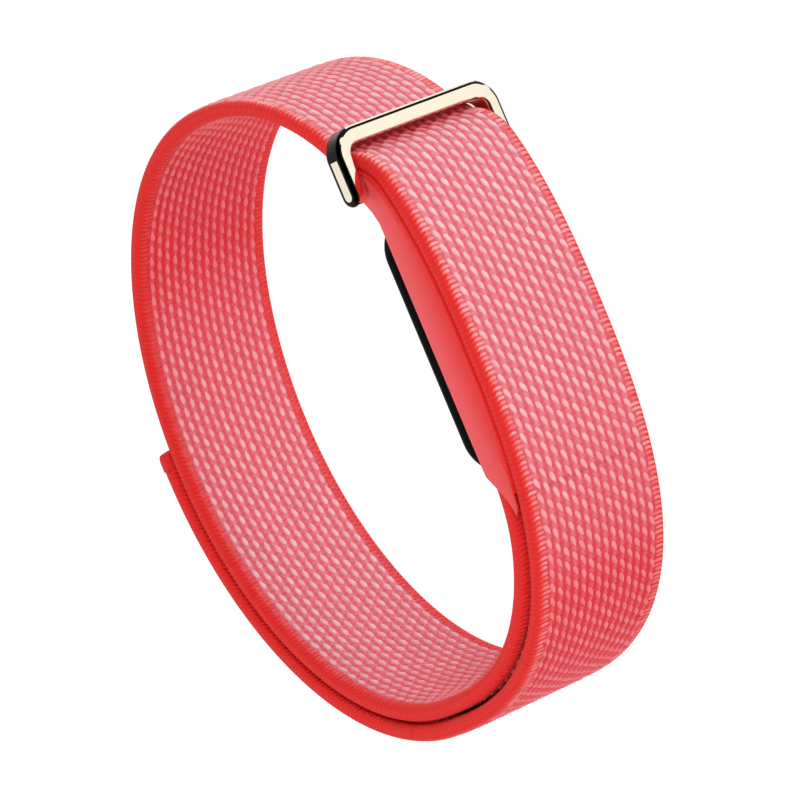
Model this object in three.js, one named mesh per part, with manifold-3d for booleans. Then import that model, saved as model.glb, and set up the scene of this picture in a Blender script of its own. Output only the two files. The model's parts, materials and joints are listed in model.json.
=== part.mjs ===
// Knitted wrist band that carries a screenless sensor pod.
// One strap starts in a notch at the carrier's right end, runs round the wrist, passes under the bar of
// a slide ring, runs back over the carrier and ends as a hook-and-loop tail over its own first layer.
// Millimetres. The pieces are drawn round the loop's middle: X along the carrier away from the ring, Y
// across the strap, Z out of the carrier's top. The finished band is then laid on its side, so that the
// strap's width is upright, the carrier's top faces -Y and the ring's end is at +X. Its origin is under
// the middle of the band, on the plane that the ring's lower arm touches.
import * as THREE from 'three';
import Module from 'manifold-3d';
import { mergeVertices } from 'three/addons/utils/BufferGeometryUtils.js';

const wasm = await Module();
wasm.setup();

// ---- strap ----
const WRIST_HALF_LENGTH = 31.9;      // skin line of the strap, half its length along X
const WRIST_HALF_HEIGHT = 24.9;      // skin line of the strap, half its height along Z
const STRAP_WIDTH = 18;
const STRAP_THICKNESS = 1.9;
const LAYER_GAP = 0.3;               // between two layers, and between the strap and the carrier
const JOINT_GAP = 0.3;               // between two strap pieces that meet end to end
const RIGHT_FULLNESS = 2.5;          // exponent of the upper right quarter, 2 is an ellipse
const LEFT_FULLNESS = 2.25;          // exponent of the upper left quarter of the skin line
const LOWER_FULLNESS = 2;
const LOOP_STEP_DEG = 5;

const ANCHOR_X = 14.2;               // where the sewn inner end meets its anchor tab
const ANCHOR_LENGTH = 2.0;
const SKIN_LEVEL = 22.75;            // height of the skin line at the anchor, above the loop's middle
const LEAD_IN_ANGLE = 45;            // the skin line leaves its oval here to run into the carrier
const LEAD_IN_REACH = 2.4;           // length of the two handles of that lead-in
const RING_END_ANGLE = 139.2;        // where the first layer ends, just past the ring's bar
const FOLD_ANGLE = 125;              // where the top run settles onto its oval
const CREASE_RUN = 0.55;             // straight stretch between the first layer's end and the crease
const FOLD_RISE = 2.4;               // length of the fold's handle above the crease
const FOLD_REACH = 2.6;              // length of the fold's handle over the carrier

const TAIL_ANGLES = [47, 10, -28, -62, -91.5];   // ends of the tail's four stretches
const TIP_LENGTH = 2.4;
const HOOK_THICKNESS = 0.6;
const HOOK_MARGIN = 1.0;             // bare strap between the hook tape and each end of its stretch
const HOOK_SIDE_MARGIN = 1.2;
const BOND_GAP = 0.05;               // glue line of the hook tape

// ---- carrier ----
const CARRIER_BOTTOM = 22.8;         // above the loop's middle
const BARREL_REACH = 3.6;            // from the ring pin to the left end of the carrier's flat bottom
const TONGUE_END = 16.2;             // tip of the thin tongue between the two strap layers
const PIN_BEHIND_CREASE = 4.0;
const PIN_ABOVE_CREASE = 1.12;
const PIN_RADIUS = 0.5;
const PIN_CLEARANCE = 0.05;
const BARREL_RADIUS = 1.15;          // material below the ring pin's axis
const NOSE_CHAMFER = 0.5;

// ---- slide ring ----
const BAR_WIDTH = 1.9;
const BAR_CLEARANCE = 0.5;           // between the bar and the strap's fold
const RING_HEIGHT = 2.4;
const ARM_THICKNESS = 1.7;
const ARM_CLEARANCE = 0.3;           // between an arm and the strap's edge
const RING_CORNER = 3.8;              // outer corner, seen from above
const RING_INNER_CORNER = 1.2;
const RING_BEVEL = 0.25;
const PIN_BITE = 0.8;                // how far the pin enters each arm

// ---- pod ----
const POD_LENGTH = 24;
const POD_WIDTH = 14.6;
const POD_CENTRE_X = -1.3;
const POD_CORNER = 3;
const POD_TOP = 25.0;
const POD_BOTTOM = 19.9;
const POD_WALL = 0.8;
const POD_ROOF = 0.6;
const POD_CLEARANCE = 0.15;          // round the case in the carrier's cavity
const FLANGE_OVERHANG = 1.8;         // of the cover's flange past each end of the case
const FLANGE_CENTRE_X = -1.3;
const FLANGE_WIDTH = 16.4;
const FLANGE_CORNER = 4;
const FLANGE_EDGE = 0.9;             // rounding of the cover's lower edge
const SEAT_GAP = 0.1;                // between the cover's flange and the carrier
const GASKET_THICKNESS = 0.25;
const GASKET_WIDTH = 0.5;

const WINDOW_SHARE = 0.46;           // of the case's length
const WINDOW_WIDTH = 8;
const WINDOW_CLEARANCE = 0.05;
const BAFFLE_HEIGHT = 0.7;
const BAFFLE_RIM = 0.5;
const SENSOR_PITCH = 3.0;
const SENSOR_SIZE = 1.6;
const SENSOR_HEIGHT = 0.5;
const CELL_CLEARANCE = 0.2;
const SENSOR_BOARD_THICKNESS = 0.4;
const MAIN_BOARD_THICKNESS = 0.5;
const BOARD_GAP = 0.2;
const BOARD_EDGE_GAP = 0.4;
const CONNECTOR_LENGTH = 1.4;
const CONTACT_INSET = 2.2;           // from the case's right end
const CONTACT_PITCH = 2.6;
const CONTACT_RADIUS = 0.8;
const CONTACT_CLEARANCE = 0.04;
const BATTERY_WIDTH = 11.6;
const BATTERY_HEIGHT = 1.5;
const TAPE_THICKNESS = 0.15;
const MOTOR_RADIUS = 2.9;
const MOTOR_HEIGHT = 1.4;
const CHIP_HEIGHT = 0.7;

// ---- sizes that follow ----
const degrees = Math.PI / 180;
const outerHalfLength = WRIST_HALF_LENGTH + 2 * STRAP_THICKNESS + LAYER_GAP;
const outerHalfHeight = WRIST_HALF_HEIGHT + 2 * STRAP_THICKNESS + LAYER_GAP;
const halfWidth = STRAP_WIDTH / 2;
const [creaseX, creaseLevel] = foldLine()[1];
const pinX = creaseX + PIN_BEHIND_CREASE;
const pinLevel = creaseLevel + PIN_ABOVE_CREASE;
const carrierLeft = pinX + BARREL_REACH;
const flangeLength = POD_LENGTH + 2 * FLANGE_OVERHANG;
const windowLength = WINDOW_SHARE * POD_LENGTH;
const boardLength = POD_LENGTH - 2 * POD_WALL - 2 * BOARD_EDGE_GAP;
const batteryLength = boardLength - 2 * MOTOR_RADIUS - 3 * BOARD_GAP;
const armInner = halfWidth + ARM_CLEARANCE;
const armOuter = armInner + ARM_THICKNESS;
const seamLevel = CARRIER_BOTTOM - SEAT_GAP;

// ---- materials ----
function material(color, roughness, metalness = 0) {
  return new THREE.MeshStandardMaterial({ color, roughness, metalness });
}

const knit = material(0xec5a66, 0.85);
const selvedge = material(0xe53030, 0.8);
const moulding = material(0xee5a5e, 0.5);
const gold = material(0xefe3cc, 0.12, 1);
const steel = material(0xb8bbc0, 0.3, 1);
const gloss = material(0x050507, 0.08);
const glass = material(0x101018, 0.05);
const blackPlastic = material(0x151517, 0.6);
const hookTape = material(0xc92c38, 0.9);
const silicone = material(0x2a2a2d, 0.7);
const board = material(0x1d5a38, 0.5);
const chip = material(0x1a1b1e, 0.4);
const greenEmitter = material(0x59d37a, 0.3);
const redEmitter = material(0xc23b3b, 0.3);
const diode = material(0x3b4152, 0.25);
const contactGold = material(0xd9b25f, 0.25, 1);
const foil = material(0xb9bcc2, 0.4, 0.8);
const tape = material(0xe6e2d6, 0.8);

// ---- solids ----
function toSolid(geometry) {
  const bare = geometry.clone();
  bare.deleteAttribute('normal');
  bare.deleteAttribute('uv');
  const merged = mergeVertices(bare, 1e-5);
  return new wasm.Manifold(new wasm.Mesh({
    numProp: 3,
    vertProperties: new Float32Array(merged.attributes.position.array),
    triVerts: new Uint32Array(merged.index.array),
  }));
}

function toGeometry(solid) {
  const mesh = solid.getMesh();
  const geometry = new THREE.BufferGeometry();
  geometry.setAttribute('position', new THREE.BufferAttribute(mesh.vertProperties, 3));
  geometry.setIndex(new THREE.BufferAttribute(mesh.triVerts, 1));
  geometry.computeVertexNormals();
  return geometry;
}

function cut(geometry, ...tools) {
  return toGeometry(tools.reduce((solid, tool) => solid.subtract(toSolid(tool)), toSolid(geometry)));
}

function named(name, geometry, look) {
  const mesh = new THREE.Mesh(geometry, look);
  mesh.name = name;
  return mesh;
}

// An outline drawn in X and Z, made solid across the strap's width.
function acrossWidth(points, width = STRAP_WIDTH) {
  const shape = new THREE.Shape(points.map(([x, z]) => new THREE.Vector2(x, z)));
  const geometry = new THREE.ExtrudeGeometry(shape, { depth: width, bevelEnabled: false });
  return geometry.rotateX(Math.PI / 2).translate(0, width / 2, 0);
}

function roundedOutline(length, width, corner) {
  const x = length / 2;
  const y = width / 2;
  const r = Math.min(corner, x, y);
  const shape = new THREE.Shape();
  shape.moveTo(x, r - y);
  shape.lineTo(x, y - r);
  shape.absarc(x - r, y - r, r, 0, Math.PI / 2);
  shape.lineTo(r - x, y);
  shape.absarc(r - x, y - r, r, Math.PI / 2, Math.PI);
  shape.lineTo(-x, r - y);
  shape.absarc(r - x, r - y, r, Math.PI, 1.5 * Math.PI);
  shape.lineTo(x - r, -y);
  shape.absarc(x - r, r - y, r, 1.5 * Math.PI, 2 * Math.PI);
  return shape;
}

// A rounded plate from one height to another, centred on the pod.
function plate(length, width, corner, bottom, top, x = POD_CENTRE_X, y = 0) {
  const geometry = new THREE.ExtrudeGeometry(roundedOutline(length, width, corner), {
    depth: top - bottom,
    bevelEnabled: false,
    curveSegments: 6,
  });
  return geometry.translate(x, y, bottom);
}

function block(length, width, bottom, top, x, y = 0) {
  const geometry = new THREE.BoxGeometry(length, width, top - bottom);
  return geometry.translate(x, y, (bottom + top) / 2);
}

function crossRod(radius, from, to, sides = 32) {
  const geometry = new THREE.CylinderGeometry(radius, radius, to - from, sides);
  return geometry.translate(pinX, (from + to) / 2, pinLevel);
}

// ---- the strap's lines ----
// A point of a superellipse at a polar angle, with its outward normal.
function ovalPoint(halfLength, halfHeight, fullness, angle) {
  const c = Math.cos(angle * degrees);
  const s = Math.sin(angle * degrees);
  const sum = Math.abs(c / halfLength) ** fullness + Math.abs(s / halfHeight) ** fullness;
  const r = sum ** (-1 / fullness);
  const nx = Math.sign(c) * Math.abs(r * c / halfLength) ** (fullness - 1) / halfLength;
  const nz = Math.sign(s) * Math.abs(r * s / halfHeight) ** (fullness - 1) / halfHeight;
  const size = Math.hypot(nx, nz);
  return { x: r * c, z: r * s, nx: nx / size, nz: nz / size };
}

function offset(point, distance) {
  return [point.x + distance * point.nx, point.z + distance * point.nz];
}

function skinPoint(angle) {
  const s = Math.sin(angle * degrees);
  const c = Math.cos(angle * degrees);
  const upper = c > 0 ? RIGHT_FULLNESS : LEFT_FULLNESS;
  return ovalPoint(WRIST_HALF_LENGTH, WRIST_HALF_HEIGHT, s > 0 ? upper : LOWER_FULLNESS, angle);
}

function outerPoint(angle) {
  const fullness = Math.sin(angle * degrees) > 0 ? RIGHT_FULLNESS : LOWER_FULLNESS;
  return ovalPoint(outerHalfLength, outerHalfHeight, fullness, angle);
}

// Angles from one end to the other in equal steps, both ends included.
function sweep(from, to) {
  const count = Math.max(2, Math.round(Math.abs(to - from) / LOOP_STEP_DEG));
  return Array.from({ length: count + 1 }, (_, i) => from + (to - from) * i / count);
}

function bezier(start, startHandle, endHandle, end, count) {
  const curve = new THREE.CubicBezierCurve(
    new THREE.Vector2(...start),
    new THREE.Vector2(...startHandle),
    new THREE.Vector2(...endHandle),
    new THREE.Vector2(...end),
  );
  return curve.getPoints(count).map((p) => [p.x, p.y]);
}

// The line at a distance to the right of a row of points, seen along its direction.
function sideLine(points, distance) {
  return points.map((point, i) => {
    const before = points[Math.max(0, i - 1)];
    const after = points[Math.min(points.length - 1, i + 1)];
    const dx = after[0] - before[0];
    const dz = after[1] - before[1];
    const length = Math.hypot(dx, dz);
    return [point[0] + distance * dz / length, point[1] - distance * dx / length];
  });
}

function ribbon(points, thickness) {
  return acrossWidth([...points, ...sideLine(points, thickness).reverse()]);
}

// Moves a point along the tangent of an oval, positive towards smaller angles.
function along(point, distance, shift) {
  const [x, z] = offset(point, distance);
  return [x + shift * point.nz, z - shift * point.nx];
}

// The skin line's way from the anchor onto its oval.
function leadIn() {
  const start = [ANCHOR_X, SKIN_LEVEL];
  const oval = skinPoint(LEAD_IN_ANGLE);
  return bezier(
    start,
    [start[0] + LEAD_IN_REACH, start[1]],
    along(oval, 0, -LEAD_IN_REACH),
    [oval.x, oval.z],
    6,
  );
}

// ---- strap pieces ----
// The first layer, with its skin line listed from the anchor clockwise to the ring.
function wristRunSkin() {
  const oval = sweep(LEAD_IN_ANGLE, RING_END_ANGLE - 360).slice(1);
  return [...leadIn(), ...oval.map((angle) => offset(skinPoint(angle), 0))];
}

function wristRun() {
  return ribbon(wristRunSkin().reverse(), STRAP_THICKNESS);
}

// A tab that closes a strap end: as thick as the strap, with a half-round nose.
function endTab(start, direction, length) {
  const radius = STRAP_THICKNESS / 2;
  const [dx, dz] = direction;
  const side = [-dz, dx];
  const place = (a, b) => [start[0] + a * dx + b * side[0], start[1] + a * dz + b * side[1]];
  const nose = sweep(-90, 90).filter((_, i) => i % 4 === 0);
  const round = nose.map((angle) => place(
    length - radius + radius * Math.cos(angle * degrees),
    radius + radius * Math.sin(angle * degrees),
  ));
  return [place(0, 0), ...round, place(0, 2 * radius)];
}

function anchorTab() {
  const outline = endTab([ANCHOR_X - JOINT_GAP, SKIN_LEVEL + STRAP_THICKNESS], [-1, 0], ANCHOR_LENGTH);
  return acrossWidth(outline);
}

// The outer line of the top run, from the crease behind the ring's bar to the tail.
function foldLine() {
  const end = skinPoint(RING_END_ANGLE);
  const start = along(end, STRAP_THICKNESS, JOINT_GAP);
  const crease = along(end, STRAP_THICKNESS, JOINT_GAP + CREASE_RUN);
  const settle = outerPoint(FOLD_ANGLE);
  const rise = [crease[0] - 0.1 * FOLD_RISE, crease[1] + FOLD_RISE];
  return [start, ...bezier(crease, rise, along(settle, 0, -FOLD_REACH), [settle.x, settle.z], 8)];
}

function topRunLine() {
  const last = outerPoint(TAIL_ANGLES[0]);
  const oval = sweep(FOLD_ANGLE, TAIL_ANGLES[0]).slice(1, -1);
  return [
    ...foldLine(),
    ...oval.map((angle) => offset(outerPoint(angle), 0)),
    along(last, 0, -JOINT_GAP / 2),
  ];
}

function topRun() {
  return ribbon(topRunLine(), STRAP_THICKNESS);
}

// One stretch of the tail between two of its hinge lines.
function tailLine(from, to) {
  const oval = sweep(from, to).slice(1, -1);
  return [
    along(outerPoint(from), 0, JOINT_GAP / 2),
    ...oval.map((angle) => offset(outerPoint(angle), 0)),
    along(outerPoint(to), 0, -JOINT_GAP / 2),
  ];
}

function tailStretch(index) {
  return ribbon(tailLine(TAIL_ANGLES[index], TAIL_ANGLES[index + 1]), STRAP_THICKNESS);
}

// The hook tape's outer line, inside the last stretch and short of both its ends.
function hookLine() {
  const [from, to] = TAIL_ANGLES.slice(-2);
  const inset = HOOK_THICKNESS - STRAP_THICKNESS;
  const oval = sweep(from, to).slice(1, -1);
  return [
    along(outerPoint(from), inset, HOOK_MARGIN),
    ...oval.map((angle) => offset(outerPoint(angle), inset)),
    along(outerPoint(to), inset, -HOOK_MARGIN),
  ];
}

function hookWidth() {
  return STRAP_WIDTH - 2 * HOOK_SIDE_MARGIN;
}

function hookPatch() {
  const line = sideLine(hookLine(), BOND_GAP);
  return acrossWidth([...line, ...sideLine(line, HOOK_THICKNESS - BOND_GAP).reverse()], hookWidth());
}

function lastStretch() {
  const line = hookLine();
  const pocket = [...line, ...sideLine(line, 2 * HOOK_THICKNESS).reverse()];
  return cut(tailStretch(TAIL_ANGLES.length - 2), acrossWidth(pocket, hookWidth() + 2 * BOND_GAP));
}

function tailTip() {
  const end = outerPoint(TAIL_ANGLES.at(-1));
  return acrossWidth(endTab(along(end, -STRAP_THICKNESS, JOINT_GAP / 2), [end.nz, -end.nx], TIP_LENGTH));
}

// ---- carrier ----
function carrierOutline() {
  const inset = STRAP_THICKNESS + LAYER_GAP;
  const strapSide = sideLine(foldLine().slice(2), inset);
  const top = sweep(FOLD_ANGLE, 90).slice(1).map((angle) => offset(outerPoint(angle), -inset));
  const topRight = sweep(90, TAIL_ANGLES[0]).slice(1)
    .map((angle) => offset(outerPoint(angle), -inset))
    .filter(([x]) => x < TONGUE_END);
  const underTongue = sideLine(leadIn(), -inset)
    .filter(([x]) => x < TONGUE_END)
    .reverse();
  const notchX = ANCHOR_X - JOINT_GAP - ANCHOR_LENGTH - LAYER_GAP;
  const notchTop = SKIN_LEVEL + inset;
  const noseBottom = pinLevel - BARREL_RADIUS;
  return [
    ...strapSide,
    ...top,
    ...topRight,
    ...underTongue,
    [notchX, notchTop],
    [notchX, CARRIER_BOTTOM],
    [carrierLeft, CARRIER_BOTTOM],
    [carrierLeft - 1.2, CARRIER_BOTTOM - 0.35],
    [pinX, noseBottom],
    [strapSide[0][0] + NOSE_CHAMFER, noseBottom],
  ];
}

function carrierShell() {
  const cavity = plate(
    POD_LENGTH + 2 * POD_CLEARANCE,
    POD_WIDTH + 2 * POD_CLEARANCE,
    POD_CORNER + POD_CLEARANCE,
    CARRIER_BOTTOM - 1,
    POD_TOP + POD_CLEARANCE,
  );
  const bore = crossRod(PIN_RADIUS + PIN_CLEARANCE, -STRAP_WIDTH, STRAP_WIDTH);
  return cut(acrossWidth(carrierOutline()), cavity, bore);
}

// ---- slide ring ----
function ringPlan(left, right) {
  const shape = new THREE.Shape();
  const inner = RING_INNER_CORNER;
  shape.moveTo(right, -armOuter);
  shape.lineTo(right, -armInner);
  shape.lineTo(left + BAR_WIDTH + inner, -armInner);
  shape.absarc(left + BAR_WIDTH + inner, inner - armInner, inner, 1.5 * Math.PI, Math.PI, true);
  shape.absarc(left + BAR_WIDTH + inner, armInner - inner, inner, Math.PI, Math.PI / 2, true);
  shape.lineTo(right, armInner);
  shape.lineTo(right, armOuter);
  shape.lineTo(left + RING_CORNER, armOuter);
  shape.absarc(left + RING_CORNER, armOuter - RING_CORNER, RING_CORNER, Math.PI / 2, Math.PI);
  shape.absarc(left + RING_CORNER, RING_CORNER - armOuter, RING_CORNER, Math.PI, 1.5 * Math.PI);
  return shape;
}

function slideRing() {
  const foldLeft = Math.min(...foldLine().map(([x]) => x));
  const left = foldLeft - BAR_CLEARANCE - BAR_WIDTH;
  const radius = RING_HEIGHT / 2;
  const frame = new THREE.ExtrudeGeometry(ringPlan(left + RING_BEVEL, pinX + RING_HEIGHT), {
    depth: RING_HEIGHT - 2 * RING_BEVEL,
    bevelThickness: RING_BEVEL,
    bevelSize: RING_BEVEL,
    bevelOffset: -RING_BEVEL,
    bevelSegments: 1,
    curveSegments: 6,
  });
  frame.translate(0, 0, pinLevel - radius + RING_BEVEL);
  const end = sweep(-90, 90).filter((_, i) => i % 3 === 0).map((angle) => [
    pinX + radius * Math.cos(angle * degrees),
    pinLevel + radius * Math.sin(angle * degrees),
  ]);
  const side = acrossWidth([[left - 1, pinLevel - radius], ...end, [left - 1, pinLevel + radius]], 3 * armOuter);
  const socket = crossRod(PIN_RADIUS + PIN_CLEARANCE, -armInner - PIN_BITE, armInner + PIN_BITE);
  return toGeometry(toSolid(frame).intersect(toSolid(side)).subtract(toSolid(socket)));
}

function ringPin() {
  const reach = armInner + PIN_BITE - LAYER_GAP;
  return crossRod(PIN_RADIUS, -reach, reach);
}

// ---- pod ----
function podCase() {
  const outside = plate(POD_LENGTH, POD_WIDTH, POD_CORNER, seamLevel, POD_TOP);
  const inside = plate(
    POD_LENGTH - 2 * POD_WALL,
    POD_WIDTH - 2 * POD_WALL,
    POD_CORNER - POD_WALL,
    seamLevel - 1,
    POD_TOP - POD_ROOF,
  );
  return cut(outside, inside);
}

function gasketTop() {
  return seamLevel;
}

function coverTop() {
  return gasketTop() - GASKET_THICKNESS;
}

function podCover() {
  const shell = new THREE.ExtrudeGeometry(roundedOutline(flangeLength, FLANGE_WIDTH, FLANGE_CORNER), {
    depth: seamLevel - POD_BOTTOM - FLANGE_EDGE,
    bevelThickness: FLANGE_EDGE,
    bevelSize: FLANGE_EDGE,
    bevelOffset: -FLANGE_EDGE,
    bevelSegments: 4,
    curveSegments: 6,
  });
  shell.translate(FLANGE_CENTRE_X, 0, POD_BOTTOM + FLANGE_EDGE);
  const flatTop = plate(2 * flangeLength, 2 * FLANGE_WIDTH, 1, seamLevel, seamLevel + 5);
  const seat = plate(POD_LENGTH + BOARD_GAP, POD_WIDTH + BOARD_GAP, POD_CORNER, coverTop(), seamLevel + 1);
  const inside = plate(
    POD_LENGTH - 2 * POD_WALL,
    POD_WIDTH - 2 * POD_WALL,
    POD_CORNER - POD_WALL,
    POD_BOTTOM + POD_WALL,
    seamLevel + 1,
  );
  const window = windowPlate(WINDOW_CLEARANCE, POD_BOTTOM - 1, POD_BOTTOM + 2 * POD_WALL);
  const holes = contactPlaces().map(([x, y]) => (
    contactRod(CONTACT_RADIUS + CONTACT_CLEARANCE, POD_BOTTOM - 1, POD_BOTTOM + 2 * POD_WALL, x, y)
  ));
  return cut(shell, flatTop, seat, inside, window, ...holes);
}

function gasket() {
  const outer = plate(POD_LENGTH, POD_WIDTH, POD_CORNER, coverTop(), gasketTop());
  const inner = plate(
    POD_LENGTH - 2 * GASKET_WIDTH,
    POD_WIDTH - 2 * GASKET_WIDTH,
    POD_CORNER - GASKET_WIDTH,
    coverTop() - 1,
    gasketTop() + 1,
  );
  return cut(outer, inner);
}

function windowPlate(growth, bottom, top) {
  const length = windowLength + 2 * growth;
  const width = WINDOW_WIDTH + 2 * growth;
  return plate(length, width, width / 2, bottom, top);
}

const windowTop = POD_BOTTOM + POD_WALL;
const baffleTop = windowTop + BAFFLE_HEIGHT;
const sensorBoardTop = baffleTop + SENSOR_BOARD_THICKNESS;
const mainBoardBottom = sensorBoardTop + BOARD_GAP;
const mainBoardTop = mainBoardBottom + MAIN_BOARD_THICKNESS;

// Emitters and photodiodes in one row along the window: diode, green, red, green, diode.
function sensorPlaces() {
  return [-2, -1, 0, 1, 2].map((step) => POD_CENTRE_X + step * SENSOR_PITCH * 0.62);
}

function sensorBlock(x) {
  return block(SENSOR_SIZE * 0.8, SENSOR_SIZE * 1.6, baffleTop - SENSOR_HEIGHT, baffleTop, x);
}

function baffle() {
  const body = windowPlate(-BAFFLE_RIM / 2, windowTop, baffleTop);
  const size = SENSOR_SIZE * 0.8 + 2 * CELL_CLEARANCE;
  const cells = sensorPlaces().map((x) => (
    block(size, SENSOR_SIZE * 1.6 + 2 * CELL_CLEARANCE, windowTop - 1, baffleTop + 1, x)
  ));
  return cut(body, ...cells);
}

function contactPlaces() {
  const x = POD_CENTRE_X + POD_LENGTH / 2 - CONTACT_INSET;
  return [-1, 0, 1].map((step) => [x, step * CONTACT_PITCH]);
}

function contactRod(radius, bottom, top, x, y) {
  const geometry = new THREE.CylinderGeometry(radius, radius, top - bottom, 24);
  return geometry.rotateX(Math.PI / 2).translate(x, y, (bottom + top) / 2);
}

function mainBoard() {
  const width = POD_WIDTH - 2 * POD_WALL - 2 * BOARD_EDGE_GAP;
  return plate(boardLength, width, POD_CORNER - POD_WALL, mainBoardBottom, mainBoardTop);
}

function podMeshes() {
  const [diodeLeft, greenLeft, red, greenRight, diodeRight] = sensorPlaces().map(sensorBlock);
  const boardLeft = POD_CENTRE_X - POD_LENGTH / 2 + POD_WALL + BOARD_EDGE_GAP;
  const batteryX = boardLeft + batteryLength / 2 + BOARD_GAP;
  const batteryTop = mainBoardTop + TAPE_THICKNESS + BATTERY_HEIGHT;
  const motorX = batteryX + batteryLength / 2 + BOARD_GAP + MOTOR_RADIUS + BOARD_GAP;
  const connectorX = POD_CENTRE_X + windowLength / 2 + BAFFLE_RIM + BOARD_GAP + CONNECTOR_LENGTH / 2;
  const chipY = MOTOR_RADIUS + 1.6;
  const motor = contactRod(MOTOR_RADIUS, mainBoardTop, mainBoardTop + MOTOR_HEIGHT, motorX, 0);
  const meshes = [
    named('pod_case', podCase(), gloss),
    named('pod_cover', podCover(), gloss),
    named('case_gasket', gasket(), silicone),
    named('sensor_window', windowPlate(0, POD_BOTTOM, windowTop), glass),
    named('light_baffle', baffle(), blackPlastic),
    named('photodiode_left', diodeLeft, diode),
    named('photodiode_right', diodeRight, diode),
    named('green_emitter_left', greenLeft, greenEmitter),
    named('green_emitter_right', greenRight, greenEmitter),
    named('red_emitter', red, redEmitter),
    named('sensor_board', windowPlate(BAFFLE_RIM, baffleTop, sensorBoardTop), board),
    named('main_board', mainBoard(), board),
    named('board_connector', block(CONNECTOR_LENGTH, 5, baffleTop, mainBoardBottom,
      connectorX), blackPlastic),
    named('battery_tape', block(batteryLength - 1, BATTERY_WIDTH - 1, mainBoardTop,
      mainBoardTop + TAPE_THICKNESS, batteryX), tape),
    named('battery_cell', block(batteryLength, BATTERY_WIDTH, mainBoardTop + TAPE_THICKNESS,
      batteryTop, batteryX), foil),
    named('vibration_motor', motor, steel),
    named('motion_sensor', block(2.4, 2.2, mainBoardTop, mainBoardTop + CHIP_HEIGHT, motorX, chipY), chip),
    named('radio_chip', block(3.4, 2.2, mainBoardTop, mainBoardTop + CHIP_HEIGHT, motorX, -chipY), chip),
  ];
  contactPlaces().forEach(([x, y], i) => {
    const rod = contactRod(CONTACT_RADIUS, POD_BOTTOM, POD_BOTTOM + 2 * POD_WALL, x, y);
    meshes.push(named(`charge_contact_${i + 1}`, rod, contactGold));
  });
  return meshes;
}

// ---- the band ----
const part = new THREE.Group();
part.add(
  named('strap_wrist_run', wristRun(), knit),
  named('strap_top_run', topRun(), knit),
  named('strap_anchor', anchorTab(), selvedge),
  named('strap_tail_1', tailStretch(0), knit),
  named('strap_tail_2', tailStretch(1), knit),
  named('strap_tail_3', tailStretch(2), knit),
  named('strap_tail_4', lastStretch(), knit),
  named('hook_tape', hookPatch(), hookTape),
  named('tail_tip', tailTip(), selvedge),
  named('carrier', carrierShell(), moulding),
  named('slide_ring', slideRing(), gold),
  named('ring_pin', ringPin(), steel),
  ...podMeshes(),
);

const drawnX = new THREE.Vector3(-1, 0, 0);
const drawnY = new THREE.Vector3(0, 0, -1);
const drawnZ = new THREE.Vector3(0, -1, 0);
const layDown = new THREE.Matrix4().makeBasis(drawnX, drawnY, drawnZ);
part.applyMatrix4(layDown.setPosition((STRAP_THICKNESS + LAYER_GAP) / 2, 0, armOuter));

export default part;
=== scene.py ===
"""Looks of the knitted wrist band: strap, slide ring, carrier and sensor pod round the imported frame."""

import json
import math

import bmesh
import bpy
import numpy as np
from mathutils import Matrix, Vector


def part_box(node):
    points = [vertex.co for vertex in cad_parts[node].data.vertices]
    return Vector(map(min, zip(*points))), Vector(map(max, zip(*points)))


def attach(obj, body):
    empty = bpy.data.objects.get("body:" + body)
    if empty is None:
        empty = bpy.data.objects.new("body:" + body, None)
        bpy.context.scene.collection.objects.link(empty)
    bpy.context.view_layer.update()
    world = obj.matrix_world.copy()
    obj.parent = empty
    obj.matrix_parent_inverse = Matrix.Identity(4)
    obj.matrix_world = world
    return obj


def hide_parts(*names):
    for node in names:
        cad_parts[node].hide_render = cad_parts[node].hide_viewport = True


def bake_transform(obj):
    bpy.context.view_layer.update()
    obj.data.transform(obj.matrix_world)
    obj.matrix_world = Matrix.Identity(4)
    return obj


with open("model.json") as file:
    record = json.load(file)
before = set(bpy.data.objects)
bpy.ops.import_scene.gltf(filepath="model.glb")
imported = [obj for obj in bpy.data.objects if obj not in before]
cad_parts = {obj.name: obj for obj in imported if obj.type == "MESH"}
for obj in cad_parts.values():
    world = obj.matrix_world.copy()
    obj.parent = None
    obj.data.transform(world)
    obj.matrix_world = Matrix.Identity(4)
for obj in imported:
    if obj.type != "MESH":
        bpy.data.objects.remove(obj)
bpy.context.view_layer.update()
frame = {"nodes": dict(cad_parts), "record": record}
rng = np.random.default_rng(7)

# ---- the strap's sizes, in millimetres, as the CAD has them ----
low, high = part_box("strap_wrist_run")
THICKNESS = 1.9
LAYER_GAP = 0.3
JOINT_GAP = 0.3
SKIN_LENGTH = (high.x - low.x) * 500 - THICKNESS
SKIN_HEIGHT = 24.9
OUTER_LENGTH = SKIN_LENGTH + 2 * THICKNESS + LAYER_GAP
OUTER_HEIGHT = SKIN_HEIGHT + 2 * THICKNESS + LAYER_GAP
HALF_WIDTH = (high.z - low.z) * 500
MIDDLE_X = (high.x + low.x) * 500
MIDDLE_Z = (high.z + low.z) * 500
RIGHT_FULLNESS = 2.5
LEFT_FULLNESS = 2.25
LOWER_FULLNESS = 2.0
# The first layer starts at the carrier, joins the skin's oval and runs down and round to the ring.
START = (11.9, 23.15)
START_REACH = 4.0
LEAD_IN_ANGLE = 45
LEAD_IN_REACH = 2.4
RING_END_ANGLE = 139.2
# There it turns back over the ring's bar, a little wider and thicker at the crease, onto the outer oval.
CREASE_RUN = 0.55
CREASE_POINT = (-22.07, 20.45)
FOLD_ANGLE = 125
FOLD_RISE = 2.4
FOLD_REACH = 2.6
FOLD_GATHER_LENGTH = 1.6
FOLD_WIDENING = 0.025
FOLD_SWELLING = 0.35
# Polar angles of the tail's four hinges and its tip, and of the seams between its pieces.
TAIL_ANGLES = (47, 10, -28, -62, -91.5)
SPLIT_ANGLES = (60, 28.5, -9, -45, -77)
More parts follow.
